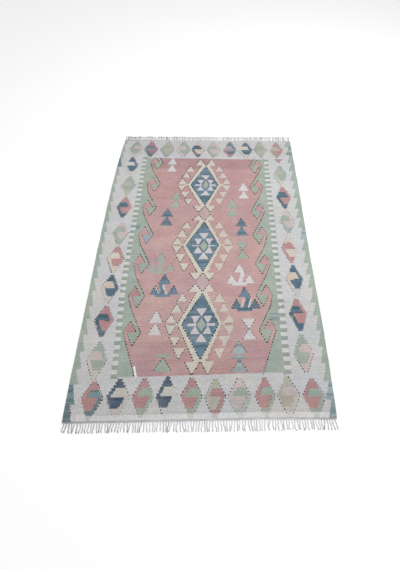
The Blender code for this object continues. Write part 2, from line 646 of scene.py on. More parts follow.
def weave_comb(band):
    """Paler ground beside the band, and over it an even comb. Some of the left comb's last
    teeth carry a dark stitch on their outer end."""
    outward = band.side * cell_x
    outer = outer_edge(band, cell_y)
    middles = repeats(*band.comb, COMB_OFF)
    rows = (cell_y < middles[0]) & (cell_y > middles[-1])
    beside = (outward > outer - COMB_ROOT) & (outward < outer + band.reach)
    cartoon.fill(rows & beside & (outward < outer + band.reach - COMB_BEYOND), "chalk")
    cartoon.fill((abs(cell_y) < COMB_END) & beside & (outward < outer), "sage")
    for middle in middles:
        cartoon.fill(beside & (abs(cell_y - middle) < 0.5 * COMB_HEIGHT), "comb_sage")
    marks = middles[(middles < MARKED_FROM) & (hand_draws.uniform(size=middles.size) < MARKED_SHARE)]
    for middle in marks if band.side < 0 else ():
        x = band.side * (float(outer_edge(band, middle)) + band.reach)
        cartoon.contour([(x, middle + MARK_HALF), (x, middle - MARK_HALF)], MARK_STRENGTH)


def weave_band(band):
    """The band's polygon follows the hooks' shoulders, tips and roots down the field."""
    across = band.side * band.out + uneven(HOOK_OFF, HOOKS)
    along = repeats(band.first, band.last, HOOKS, HOOK_OFF)
    hooks = [hook_corners(x, y, band.side) for x, y in zip(across, along)]
    root, end = [(band.side * (band.out + out), height) for out, height in BAND_ROOT]
    edge = [(band.side * band.outer, BAND_TOP), (hooks[0].shoulder[0], BAND_TOP)]
    for hook in hooks:
        edge += [hook.shoulder, hook.tip, hook.eye_out]
    edge += [root, end, (end[0], BAND_BOTTOM), (band.side * (band.outer - band.taper), BAND_BOTTOM),
             (band.side * band.outer, TAPER_FROM)]
    rows = (cell_share > FIELD_SHARES[0]) & (cell_share < FIELD_SHARES[1])
    cartoon.polygon(edge, "sage", rows)
    for number, hook in enumerate(hooks):
        wool = "pale_blue" if band.side < 0 and number == BLUE_HOOK else "sage"
        stem = [hook.shoulder, hook.tip, hook.eye_in, hook.eye_top]
        cartoon.polygon(stem, wool, rows & (cell_y < hook.tip[1] + EYE_TOP))
        cartoon.polygon([hook.tip, hook.back, hook.foot], wool)
        eye = [hook.eye_top, hook.eye_in, (hook.eye_in[0], hook.tip[1]), hook.eye_out]
        deep = band.side < 0 and number >= DEEP_EYES_FROM
        cartoon.polygon(eye, "deep_madder" if deep else "madder", rows)
    cartoon.bar(*band.patch, "sea")
    return hooks, root, end


def outline_band(hooks, root, end):
    """Dark stitches down each stem's outer side, round its triangle and eye, along the band."""
    for hook, shoulder in zip(hooks, [hook.shoulder for hook in hooks[1:]] + [root]):
        cartoon.contour([hook.shoulder, hook.tip, hook.foot], STEM_STRENGTH)
        cartoon.contour([hook.eye_top, hook.eye_in], EYE_STRENGTHS[0])
        cartoon.contour([hook.eye_top, hook.eye_out], EYE_STRENGTHS[1])
        cartoon.contour([hook.back, hook.foot], BACK_STRENGTH)
        cartoon.contour([hook.eye_out, shoulder], BAND_STRENGTH)
    cartoon.contour([root, end], BAND_STRENGTH)


for band in BANDS:
    weave_comb(band)
    outline_band(*weave_band(band))
cartoon.polygon(BLEACHED_SLIT, "bleached")
print("hooks", HOOKS * len(BANDS))

# %% [markdown]
# ## The border diamonds
# Each diamond of the border holds a two-coloured hook: one wool fills the top, runs down one
# side and turns in again, and the other wool answers it, as in an S. They stand at an even
# pitch, in four rows that go round the field. The weaver chose the wools of each anew, so
# only their order is listed. Dark stitches follow some sides more than others.

# %% Hooked diamonds
CAP = 0.47
FOOT = 0.56
RING = 2.3
BLUNT = 0.75
OUTSET = 0.35
DIAMOND_OFF = 0.6
SIZE_OFF = 0.6
STRENGTH_OFF = 0.45
STITCHED_FROM = 0.15
INNER_SHARE = 0.6


class Diamond(NamedTuple):
    """Where its waist is, its width, how far it reaches up and down, its three wools, and
    whether the hook turns to the left. The third wool is the answering ring's and foot's."""

    x: float
    y: float
    wide: float
    up: float
    down: float
    wools: list
    turned: bool


class DiamondRow(NamedTuple):
    """The places of the first and the last waist, the usual width and reach up and down, which
    way the hooks turn, the number of the one that turns the other way, the strength of the
    first and of the last one's stitches, and the wools in order."""

    first: tuple
    last: tuple
    size: tuple
    turned: bool
    odd: int
    strengths: tuple
    wools: tuple


DIAMOND_ROWS = (
    DiamondRow((-66, 110), (63, 109), (12.2, 11.3, 10.3), True, 0, (0.45, 0.55), (
        "sage pale_pink faint_peach", "wine teal teal", "khaki sage sage",
        "sage pale_pink faint_peach", "peach deep_blue deep_blue", "pale_pink sage sage",
        "teal mauve wine", "deep_blue cream faint_cream", "khaki sage sage",
        "deep_madder khaki comb_sage")),
    DiamondRow((-67, 88), (-64, -87), (12.4, 11.0, 11.8), True, -1, (0.2, 0.7), (
        "deep_blue ivory faint_peach", "sage khaki khaki", "deep_madder deep_blue deep_blue",
        "pale_pink sage sage", "deep_madder cream warm_cream", "deep_blue peach faint_peach",
        "deep_madder deep_blue deep_blue", "sage pale_pink faint_peach")),
    DiamondRow((64, 77), (64, -84), (12.3, 12.1, 12.9), True, 6, (0.3, 0.45), (
        "sage khaki faint_cream", "deep_madder deep_blue deep_blue", "pale_pink sage sage",
        "warm_cream deep_madder deep_madder", "deep_blue peach faint_peach",
        "deep_madder deep_blue deep_blue", "sage pale_pink pale_pink")),
    DiamondRow((-63, -110), (66, -110), (12.7, 10.6, 12.0), False, -1, (0.5, 0.55), (
        "deep_madder teal teal", "navy faint_peach faint_peach", "deep_madder sage sage",
        "navy faint_cream undyed", "deep_madder sage sage", "khaki deep_madder deep_madder",
        "pale_pink sage pale_sage", "deep_madder sage sage", "khaki pale_pink faint_peach",
        "deep_madder sage sage")),
)


def diamond_reach(diamond, y):
    """Half the width at a height: straight from the waist to the tips, which are cut blunt."""
    levels = (diamond.y - diamond.down, diamond.y, diamond.y + diamond.up)
    return np.interp(y, levels, (BLUNT, 0.5 * diamond.wide, BLUNT))


def weave_diamond(diamond):
    """Up and down count from 0 at the waist to 1 at the tips. The second wool lies under the
    cap beside the first's ring, and the third in the answering ring and the foot."""
    reach = diamond_reach(diamond, step_y)
    up = (cell_y - diamond.y) / diamond.up
    down = (diamond.y - cell_y) / diamond.down
    across = cell_x - diamond.x
    whole = (abs(across) < reach) & (up < 1.0) & (down < 1.0)
    own_side = across if diamond.turned else -across
    own = own_side > reach - RING
    answering = own_side < RING - reach
    first, second, third = diamond.wools
    cartoon.fill(whole, first)
    cartoon.fill(whole & (up >= 0.0) & (up < CAP) & ~own, second)
    cartoon.fill(whole & (down > 0.0) & ((down > FOOT) | answering), third)


def outline_diamond(diamond, strengths):
    """Stitches just outside the four sides, and inside along the two rings."""
    x, y = diamond.x, diamond.y
    half = 0.5 * diamond.wide + OUTSET
    for side, rise, strength in zip((-1.0, 1.0, 1.0, -1.0), (1.0, 1.0, -1.0, -1.0), strengths):
        tip = (diamond.up if rise > 0.0 else diamond.down) + OUTSET
        if strength > STITCHED_FROM:
            cartoon.contour([(x + side * BLUNT, y + rise * tip), (x + side * half, y)], strength)
    if strengths[4] > STITCHED_FROM:
        side = 1.0 if diamond.turned else -1.0
        for end, toward in ((y + CAP * diamond.up, side), (y - FOOT * diamond.down, -side)):
            inner = [x + toward * (float(diamond_reach(diamond, level)) - RING) for level in (end, y)]
            cartoon.contour([(inner[0], end), (inner[1], y)], strengths[4])


def weave_row(row):
    """The diamonds of one row, evenly spaced from the first to the last, each a little off."""
    count = len(row.wools)
    places = zip(repeats(row.first[0], row.last[0], count, DIAMOND_OFF),
                 repeats(row.first[1], row.last[1], count, DIAMOND_OFF))
    usual = np.linspace(*row.strengths, count)
    for number, ((x, y), wools) in enumerate(zip(places, row.wools)):
        size = row.size + uneven(SIZE_OFF, 3)
        strengths = np.clip(usual[number] + uneven(STRENGTH_OFF, 5), 0.0, 1.0)
        strengths[4] *= INNER_SHARE
        diamond = Diamond(x, y, *size, wools.split(), row.turned != (number == row.odd))
        weave_diamond(diamond)
        outline_diamond(diamond, strengths)


for row in DIAMOND_ROWS:
    weave_row(row)
print("diamonds", sum(len(row.wools) for row in DIAMOND_ROWS))

# %% [markdown]
# ## The medallions
# Three indigo diamonds of one form stand at an even pitch down the field. Each has a cream
# outline, a column of cream triangles on each side, two more at each of its points, and a
# star inside. The weaver left the right-hand side of each a little narrower than the left.

# %% Medallions
MEDALLION_X = -0.8
MEDALLION_PITCH = 64.2
MEDALLION_SIZE = (12.8, 11.2, 23.2, 23.7)
MEDALLION_OFF = 0.4
WEDGE_SPREAD = 0.4
OUTLINE = (2.9, 2.3)
CREAM_STRENGTHS = (0.95, 0.5)
INDIGO_STRENGTHS = (1.0, 0.95)
POINT_LIFT = 1.0
POINT_CORNERS = (-4.0, 3.3)
POINT_PLACES = (-5.0, 4.6)
POINT_WIDTHS = (8.2, 7.0)
POINT_STRENGTHS = (1.0, 0.6)
OUTER_HEIGHT = 8.0
INNER_HEIGHT = 6.5
COLUMN_REACH = (20.0, 18.1)
COLUMN_STRENGTHS = (0.9, 0.4)
INWARD_SHARE = 0.85
FLANK_WEDGES = 3
FLANK_STEP = 3.2
FLANK_PITCH = 7.8
FLANK_START = 0.8
FLANK_WIDTH = 6.3
FLANK_HEIGHT = 6.8
FLANK_OFF = 0.4
NECK = (3.2, 6.0)
NECK_HALF = 1.2
LINE = (1.6, -2.2)
LINE_HALF = 0.5
BETWEEN_REACH = (-4.7, 3.9)
BETWEEN_TIP = 1.5
STAR_LOW = 0.4
STAR_RAYS = ((0.0, 6.4, 12.1, 7.0), (-4.1, 1.0, 6.5, 5.2), (4.1, 1.0, 6.5, 5.2))
STAR_BAR = (3.4, 8.7)
STAR_BAR_HALF = 0.7
STAR_MIDDLE = (2.9, 5.2)
STAR_STRENGTH = 0.25


class Medallion(NamedTuple):
    """Its middle, and its reach to the left, right, top and bottom."""

    x: float
    y: float
    left: float
    right: float
    up: float
    down: float


class Wedge(NamedTuple):
    """A triangle with a level base: its apex, the base's height and its width."""

    x: float
    apex: float
    base: float
    wide: float


def weave_wedge(wedge, wool, left=0.0, right=0.0):
    """A triangle, and stitches down one or both slanting sides at the given strengths. The last
    cell that a wool enters is wholly its own, so the triangle is woven a little larger."""
    half = 0.5 * wedge.wide + WEDGE_SPREAD
    tip = wedge.apex + (WEDGE_SPREAD if wedge.apex > wedge.base else -WEDGE_SPREAD)
    cartoon.polygon([(wedge.x, tip), (wedge.x - half, wedge.base), (wedge.x + half, wedge.base)],
                    wool, fine=True)
    for side, strength in ((-1.0, left), (1.0, right)):
        if strength:
            foot = (wedge.x + side * (half + OUTSET), wedge.base)
            cartoon.contour([(wedge.x, tip), foot], strength)


def weave_medallion(medallion):
    """A cream six-sided outline, cut level at its points, with the indigo diamond over it."""
    x, y = medallion.x, medallion.y
    left, right = [x + corner for corner in POINT_CORNERS]
    top = y + medallion.up + POINT_LIFT
    bottom = y - medallion.down - POINT_LIFT
    cream = [(left, top), (x - medallion.left - OUTLINE[0], y), (left, bottom),
             (right, bottom), (x + medallion.right + OUTLINE[1], y), (right, top)]
    cartoon.polygon(cream, "cream")
    indigo = [(x, y + medallion.up), (x - medallion.left, y), (x, y - medallion.down),
              (x + medallion.right, y)]
    cartoon.polygon(indigo, "blue")
    cartoon.contour(cream[:3], CREAM_STRENGTHS[0])
    cartoon.contour(cream[3:], CREAM_STRENGTHS[1])
    cartoon.contour(indigo[:3], INDIGO_STRENGTHS[0])
    cartoon.contour([indigo[0], indigo[3], indigo[2]], INDIGO_STRENGTHS[1])


def weave_star(medallion):
    """Three small triangles above and three below, a bar on each side, and over them a sage
    diamond with its dotted outline. Each ray is its distance out, apex, base and width."""
    x, y = medallion.x, medallion.y - STAR_LOW
    for up in (1.0, -1.0):
        for out, apex, base, wide in STAR_RAYS:
            weave_wedge(Wedge(x + out, y + up * apex, y + up * base, wide), "lavender")
    for side in (1.0, -1.0):
        start, end = sorted(side * reach for reach in STAR_BAR)
        cartoon.bar(x + start, x + end, y + STAR_BAR_HALF, y - STAR_BAR_HALF, "lavender")
    half, high = STAR_MIDDLE
    tips = [(x, y + high), (x - half, y), (x, y - high), (x + half, y)]
    cartoon.polygon(tips, "sage", fine=True)
    cartoon.contour(tips[:3], STAR_STRENGTH)
    cartoon.contour([tips[0], tips[3], tips[2]], STAR_STRENGTH)


def weave_columns(medallion):
    """On each side three triangles point up and three down, each nearer to the middle than the
    last, with a neck from the outline's corner and a thin line between the middle two."""
    for side, wool, reach, strength in zip((-1.0, 1.0), ("cream", "warm_cream"), COLUMN_REACH,
                                           COLUMN_STRENGTHS):
        strengths = (strength, INWARD_SHARE * strength)[::int(-side)]
        for up in (1.0, -1.0):
            heights = FLANK_HEIGHT + uneven(FLANK_OFF, FLANK_WEDGES)
            for number, height in enumerate(heights):
                x = medallion.x + side * (reach - FLANK_STEP * number)
                base = medallion.y + up * (FLANK_START + FLANK_PITCH * number)
                weave_wedge(Wedge(x, base + up * height, base, FLANK_WIDTH), wool, *strengths)
        out = medallion.x + side * reach
        neck = sorted(out - side * inward for inward in NECK)
        line = sorted(out + side * outward for outward in LINE)
        cartoon.bar(*neck, medallion.y + NECK_HALF, medallion.y - NECK_HALF, wool)
        cartoon.bar(*line, medallion.y + LINE_HALF, medallion.y - LINE_HALF, "umber")


def weave_points(above, below):
    """Two triangles at each point of a medallion. Between two medallions they meet tip to tip,
    with a faded pink diamond between them."""
    if above and below:
        top = above.y - above.down - POINT_LIFT
        bottom = below.y + below.up + POINT_LIFT
        x = 0.5 * (above.x + below.x)
        left, right = [x + reach for reach in BETWEEN_REACH]
        middle = 0.5 * (top + bottom)
        cartoon.polygon([(x - BETWEEN_TIP, top), (left, middle), (x - BETWEEN_TIP, bottom),
                         (x + BETWEEN_TIP, bottom), (right, middle), (x + BETWEEN_TIP, top)],
                        "faded", fine=True)
    height = INNER_HEIGHT if above and below else OUTER_HEIGHT
    for medallion, up in ((above, -1.0), (below, 1.0)):
        if medallion:
            base = medallion.y + up * ((medallion.up if up > 0.0 else medallion.down) + POINT_LIFT)
            for place, width, right in zip(POINT_PLACES, POINT_WIDTHS, POINT_STRENGTHS):
                wedge = Wedge(medallion.x + place, base + up * height, base, width)
                weave_wedge(wedge, "cream", POINT_STRENGTHS[0], right)


medallions = []
for step in (1, 0, -1):
    off = uneven(MEDALLION_OFF, 6)
    place = (MEDALLION_X, MEDALLION_PITCH * step)
    medallions.append(Medallion(*(np.array(place + MEDALLION_SIZE) + off).tolist()))
for medallion in medallions:
    weave_medallion(medallion)
    weave_star(medallion)
for above, below in zip((None, *medallions), (*medallions, None)):
    weave_points(above, below)
for medallion in medallions:
    weave_columns(medallion)
print("medallions", len(medallions))

# %% [markdown]
# ## Small motifs on the field
# Between the medallions and the bands lie small filling motifs, each of one form: pairs of
# triangles one over the other, hourglasses, hands, which are three triangles on a bent stem,
# and at the near end a lamp and a tree. The weaver put them where there was room.

# %% Filling motifs
PAIR_WIDE = 8.0
PAIR_HIGH = 8.9
GLASS_WIDE = 8.0
GLASS_HIGH = 7.3
GLASS_WAIST = (1.1, 2.0)
HAND_WIDE = 7.0
HAND_TOP = 7.8
HAND_SIDES = (-5.6, 6.9)
HAND_SIDE_WIDE = 6.0
HAND_SIDE_TOP = 9.2
HAND_FOOT = 16.2
HAND_BAR = (-5.4, 4.6)
HAND_BAR_LIFT = 0.4
HAND_BAR_DEPTH = 2.4
STEM_WIDE = 2.8
SLITS = (-3.1, 2.0)
SLIT_WIDE = 1.1
SLIT_SHORT = (0.6, 1.5)
LAMP_BAR = (5.0, 5.0, 2.5)
LAMP_WEDGE = (2.5, -6.0, 9.6)
TREE_BARS = ((1.2, 3.0, -4.0), (4.3, 0.3, -2.2))
TREE_WEDGES = ((10.0, 1.8, 8.6), (-2.8, -10.0, 9.6))
FILLER_OFF = 0.3


def slanted(foot, top, low, high, wide):
    """A stem's four corners, from its foot at one height to its top at another."""
    half = 0.5 * wide
    return [(top - half, high), (top + half, high), (foot + half, low), (foot - half, low)]


def pair(x, y, wool, strength):
    """Two triangles, one over the other, whose middle is at the place."""
    high = PAIR_HIGH + float(uneven(FILLER_OFF, 1)[0])
    for top in (y + high, y):
        weave_wedge(Wedge(x, top, top - high, PAIR_WIDE), wool, strength, strength)


def hourglass(x, y, wool, strength):
    """Two triangles, tip to tip, with a short waist."""
    for up in (1.0, -1.0):
        weave_wedge(Wedge(x, y, y + up * GLASS_HIGH, GLASS_WIDE), wool, strength, strength)
    half, high = GLASS_WAIST
    cartoon.bar(x - half, x + half, y + high, y - high, wool)


def hand(x, top, lean, wool, strength, slits=()):
    """A triangle on a stem that leans, a bar at the stem's foot, and a triangle at each end of
    the bar. Slits are pale lines beside the stem, at the given distances from it."""
    foot = top - HAND_FOOT
    start = top - HAND_TOP
    cartoon.polygon(slanted(x, x + lean, foot, start, STEM_WIDE), wool)
    level = foot + HAND_BAR_LIFT
    cartoon.bar(x + HAND_BAR[0], x + HAND_BAR[1], level, level - HAND_BAR_DEPTH, wool)
    weave_wedge(Wedge(x, top, start, HAND_WIDE), wool, strength, strength)
    for place in HAND_SIDES:
        side = Wedge(x + place, top - HAND_SIDE_TOP, foot, HAND_SIDE_WIDE)
        weave_wedge(side, wool, strength, strength)
    for away in slits:
        low = foot + SLIT_SHORT[0]
        cartoon.polygon(slanted(x + away, x + lean + away, low, start - SLIT_SHORT[1], SLIT_WIDE),
                        "chalk")


def bars_and_wedges(x, y, bars, wedges, wool, strength):
    """Bars, each by half its width and its top and bottom, and then triangles, each by its
    apex, base and width, all measured from the place."""
    for half, high, low in bars:
        cartoon.bar(x - half, x + half, y + high, y + low, wool)
    for apex, base, wide in wedges:
        weave_wedge(Wedge(x, y + apex, y + base, wide), wool, strength, strength)


def lamp(x, y, wool, strength):
    """A bar, with a wide triangle hanging point up below it."""
    bars_and_wedges(x, y, (LAMP_BAR,), (LAMP_WEDGE,), wool, strength)


def tree(x, y, wool, strength):
    """Two triangles one over the other, joined by a stem that crosses a bar."""
    bars_and_wedges(x, y, TREE_BARS, TREE_WEDGES, wool, strength)


pair(-31, 89, "ivory", 0.3)
pair(-25, 47, "sage", 0.5)
pair(-31, 28, "blue", 0.7)
pair(-31, -63, "ivory", 0.7)
pair(31, 57, "ivory", 0.3)
pair(21, 38, "sage", 0.4)
pair(28, 18, "blue", 0.6)
hourglass(28, -5, "sage", 0.7)
hourglass(30, -68, "ivory", 0.8)
hand(-32, -7, 0.0, "sage", 0.6)
hand(-28, -26, -2.4, "blue", 0.9, SLITS)
hand(25, -17, 2.4, "ivory", 0.5)
hand(28, -37, 2.4, "blue", 0.85, SLITS)
lamp(-24, -89, "sage", 0.8)
tree(23, -86, "sea", 0.75)
weave_wedge(Wedge(64, 92, 97, 6), "deep_madder", 0.3, 0.3)
print("outline stitches", len(cartoon.stitches))

# %% [markdown]
# ## Abrash, and painted shade at the ends
# Hand-dyed wool comes in lots, and each lot takes the dye a little differently. Where the
# weaver went on with a new lot, the colour changes along a level line: this is abrash, and it
# is what makes the plain field look alive. Each row of cells gets its own slight tone, and
# indigo, the hardest dye to take evenly, gets a stronger one. The rows are also painted a
# little darker towards both ends, most so at the near one: this is painted shade, where less
# light falls. At the near end the motifs' tips run out in thinner picks over the white end
# strip, whose left part is darker.

# %% Tone of each row
ABRASH_SEED = 11
ABRASH_LOTS = 34
ABRASH_DEPTH = 0.03
PICK_DEPTH = 0.022
# Painted shade: the rows darken towards both ends, most so at the near one, where less light falls.
NEAR_PAINTED_SHADE = 0.12
FAR_PAINTED_SHADE = 0.05
PAINTED_SHADE_POWER = 2.5
INDIGO_DYES = ("blue", "deep_blue", "navy", "teal", "sea")
INDIGO_DEPTH = 0.24
INDIGO_SEED = 12
END_FADING = 0.55
END_FADING_REACH = 70.0
END_DARKENED_TO = -10.0
END_LEFT_DARKENING = 0.10


def row_tones_and_end_shade(chance):
    """A tone for each row: the lot's own step, plus a small one for each row by itself, less a
    painted shade that grows towards both ends.
    """
    lots = chance.uniform(-1.0, 1.0, ABRASH_LOTS)
    starts = np.sort(chance.uniform(0.0, 1.0, ABRASH_LOTS))
    share = (np.arange(CELL_ROWS) + 0.5) / CELL_ROWS
    lot = lots[np.clip(np.searchsorted(starts, share) - 1, 0, ABRASH_LOTS - 1)]
    # Painted shade towards both ends of the cloth.
    depth = np.where(share < 0.5, NEAR_PAINTED_SHADE, FAR_PAINTED_SHADE)
    ends = depth * (2.0 * abs(share - 0.5)) ** PAINTED_SHADE_POWER
    return 1.0 + ABRASH_DEPTH * lot + PICK_DEPTH * chance.uniform(-1.0, 1.0, CELL_ROWS) - ends


tones = row_tones_and_end_shade(np.random.default_rng(ABRASH_SEED))[:, None] * np.ones(cell_x.shape)
indigo = np.isin(cartoon.dye, [DYE_NAMES.index(name) for name in INDIGO_DYES])
indigo_draws = np.random.default_rng(INDIGO_SEED).uniform(-1.0, 1.0, (CELL_ROWS // 2, 1))
tones = tones * np.where(indigo, 1.0 + INDIGO_DEPTH * indigo_draws.repeat(2, axis=0), 1.0)
# The end strip's left part is darker.
end_left_darkening = END_LEFT_DARKENING * np.interp(cell_x, (-END_FADING_REACH, END_DARKENED_TO), (1.0, 0.0))
cell_colour_and_shade = dye_table[cartoon.dye] * tones[..., None]
white = dye_table[DYE_NAMES.index("white")]
fading = END_FADING * (end_strip & (abs(cell_x) < END_FADING_REACH))[..., None]
cell_colour_and_shade = cell_colour_and_shade + fading * (white - cell_colour_and_shade)
cell_colour_and_shade = cell_colour_and_shade * (1.0 - end_left_darkening * end_strip)[..., None]
print("cell colours", cell_colour_and_shade.shape)

# %% [markdown]
# ## The woven cloth
# The cloth is one closed sheet. Its top is the grid of cells, so each cell is a face with its
# own dye, together with the painted shade towards the ends, kept as a colour attribute on
# faces. The underside needs less, so two cells by two share a face there. The sheet is never
# quite level: it cockles where the weft is tighter, it is rounded at its edges, and the
# selvedge, wrapped over a pair of warps, is a little thicker.

# %% Relief of the cloth
SELVEDGE_SWELL = 0.0005
SELVEDGE_REACH = 0.006
EDGE_LEVEL = 0.5


class Cockle(NamedTuple):
    """A long low wave of the sheet: height in metres, waves each metre along X and Y, phase."""

    height: float
    across: float
    along: float
    phase: float


COCKLES = (
    Cockle(height=0.00045, across=0.9, along=0.35, phase=0.4),
    Cockle(height=0.00040, across=-0.5, along=0.8, phase=2.1),
    Cockle(height=0.00022, across=2.3, along=1.1, phase=4.4),
    Cockle(height=0.00015, across=0.6, along=3.7, phase=1.2),
)


def underside_level(x, y):
    """Height of the underside: the sum of the cockles, raised so that it never goes below 0."""
    level = np.zeros(np.broadcast(x, y).shape)
    for cockle in COCKLES:
        turn = 2.0 * np.pi * (cockle.across * x + cockle.along * y) + cockle.phase
        level = level + cockle.height * (1.0 + np.sin(turn))
    return level


def top_level(x, y):
    """Height of the top side: the underside's, plus the cloth's thickness."""
    return underside_level(x, y) + CLOTH_THICKNESS


print("cockles", len(COCKLES), "of up to", 2000.0 * max(cockle.height for cockle in COCKLES), "mm")

# %% Helpers for meshes
TOP_REACH = 0.80
UNDER_START = 0.815
PICTURE_MARGIN = 0.003


def add_piece(name, points, faces, material):
    """A named object made from an array of points and a list of faces, shaded smooth."""
    mesh = bpy.data.meshes.new(name)
    mesh.from_pydata(points.reshape(-1, 3).tolist(), [], faces)
    mesh.shade_smooth()
    mesh.materials.append(material)
    piece = bpy.data.objects.new(name, mesh)
    bpy.context.scene.collection.objects.link(piece)
    return piece


def keep_picture_map(mesh, places):
    """Keeps a place on a picture map for every corner of every face."""
    layer = mesh.uv_layers.new(name="OFBake")
    layer.data.foreach_set("uv", places.astype(np.float32).ravel())


def keep_values(mesh, name, domain, values):
    """Keeps a number, or a colour, for every face or point of a mesh."""
    plain = values.ndim == 1
    attribute = mesh.attributes.new(name, "FLOAT" if plain else "FLOAT_COLOR", domain)
    if not plain:
        values = np.concatenate((values, np.ones((len(values), 1))), axis=1)
    attribute.data.foreach_set("value" if plain else "color", values.astype(np.float32).ravel())


def corner_numbers(mesh):
    """The point number of every corner of every face, in order."""
    numbers = np.zeros(len(mesh.loops), int)
    mesh.loops.foreach_get("vertex_index", numbers)
    return numbers


def triangles(piece):
    """How many triangles a piece's faces come to."""
    return sum(face.loop_total - 2 for face in piece.data.polygons)


# %% Mesh of the cloth
def cloth_points():
    """Top grid points, and the underside's inner points at every second row and column."""
    across, share = np.meshgrid(column_shares, row_shares)
    x, y = place_on_cloth(across, share)
    left, right = selvedges(y)
    inward = np.minimum(x - left, right - x)
    swell = SELVEDGE_SWELL * np.clip(1.0 - inward / SELVEDGE_REACH, 0.0, 1.0)
    z = top_level(x, y) + swell
    rim = np.zeros(x.shape, bool)
    rim[[0, -1], :] = True
    rim[:, [0, -1]] = True
    z = np.where(rim, underside_level(x, y) + EDGE_LEVEL * CLOTH_THICKNESS, z)
    top = np.stack((x, y, z), axis=-1)
    under = top[2:-1:2, 2:-1:2].copy()
    under[..., 2] = underside_level(under[..., 0], under[..., 1])
    return top, under


def rim_faces(top_numbers, under_numbers):
    """Faces that join the top's rim to the underside, clockwise round the rug from above: five
    corners along a side, where two cells meet one wide face, and six at each of the corners."""
    sides = ((top_numbers[:, 0], under_numbers[:, 0]),
             (top_numbers[-1], under_numbers[-1]),
             (top_numbers[::-1, -1], under_numbers[::-1, -1]),
             (top_numbers[0, ::-1], under_numbers[0, ::-1]))
    faces = []
    for (edge, inner), (following, _) in zip(sides, sides[1:] + sides[:1]):
        middle = edge[2:-2]
        faces += np.stack((middle[:-2:2], middle[1:-1:2], middle[2::2], inner[1:], inner[:-1]),
                          axis=-1).tolist()
        faces.append([int(n) for n in (*edge[-3:], following[1], following[2], inner[-1])])
    return faces


def make_cloth(material):
    """The closed sheet, with each face's dye and its place on a picture map."""
    top, under = cloth_points()
    top_numbers = np.arange(top[..., 0].size).reshape(top.shape[:2])
    under_numbers = top_numbers.size + np.arange(under[..., 0].size).reshape(under.shape[:2])
    t, u = top_numbers, under_numbers
    top_faces = np.stack((t[:-1, :-1], t[:-1, 1:], t[1:, 1:], t[1:, :-1]), axis=-1).reshape(-1, 4)
    under_faces = np.stack((u[:-1, :-1], u[1:, :-1], u[1:, 1:], u[:-1, 1:]), axis=-1).reshape(-1, 4)
    rim = rim_faces(t, u)
    points = np.concatenate((top.reshape(-1, 3), under.reshape(-1, 3)))
    faces = top_faces.tolist() + under_faces.tolist() + rim
    piece = add_piece("cloth_woven", points, faces, material)

    first = np.array([face[0] for face in rim])
    rows = np.minimum(first // top.shape[1], CELL_ROWS - 1)
    columns = np.minimum(first % top.shape[1], CELL_COLUMNS - 1)
    colours = (cell_colour_and_shade.reshape(-1, 3), cell_colour_and_shade[2:-2:2, 2:-2:2].reshape(-1, 3),
               cell_colour_and_shade[rows, columns])
    # The face colours carry the painted shade towards both ends along with the dye.
    keep_values(piece.data, "dye", "FACE", np.concatenate(colours))

    across, share = np.meshgrid(column_shares, row_shares)
    across = np.concatenate((across.ravel(), across[2:-1:2, 2:-1:2].ravel()))
    share = np.concatenate((share.ravel(), share[2:-1:2, 2:-1:2].ravel()))
    corners = corner_numbers(piece.data)
    on_top = np.arange(corners.size) < top_faces.size
    reach = np.where(on_top, TOP_REACH, 1.0 - PICTURE_MARGIN)
    start = np.where(on_top, PICTURE_MARGIN, UNDER_START)
    places = np.column_stack((start + (reach - start) * across[corners],
                              PICTURE_MARGIN + (1.0 - 2.0 * PICTURE_MARGIN) * share[corners]))
    keep_picture_map(piece.data, places)
    return piece


# %% [markdown]
# ## Finish of the wool
# Close to, a kilim is ribbed: the hidden warps push the weft up in ribs along the rug, and each
# pick of weft crosses them as a fine line. From further off it shows as level streaks, where
# one ball of yarn was spun or dyed unlike the next, and as a speckle of heathered fibres. The
# dye comes from the faces, and all the rest is noise on it, in the rug's own coordinates, but
# for a painted shade in the hollows between the ribs.

# %% Material of the cloth
RIB_PITCH = 0.0042
PICK_PITCH = 0.0013
STREAK = (5.0, 150.0, 1.0)
FINE_STREAK = (28.0, 620.0, 1.0)
HEATHER = (300.0, 420.0, 300.0)
GRAIN = (170.0, 240.0, 170.0)
BLOTCH = (7.0, 9.0, 7.0)
WASH = (1.6, 1.4, 1.6)
HUE_DRIFT = (3.5, 4.5, 3.5)
HUE_SPECKLE = (70.0, 90.0, 70.0)
STREAK_DEPTH = 0.24
FINE_STREAK_DEPTH = 0.46
HEATHER_DEPTH = 0.22
GRAIN_DEPTH = 1.15
GRAIN_ROUGH = 0.7
BLOTCH_DEPTH = 0.14
WASH_DEPTH = 0.10
RIB_PAINTED_SHADE = 0.02
HUE_DRIFT_DEPTH = 0.22
HUE_SPECKLE_DEPTH = 0.04
RED_SHARE = 0.5
DUST = (0.76, 0.74, 0.73)
DUST_LEAST = 0.03
DUST_BLOTCH = 0.5
RIB_HIGH = 0.5
PICK_HIGH = 0.12
HEATHER_HIGH = 0.9
RELIEF = 0.0004
RELIEF_STRENGTH = 0.6


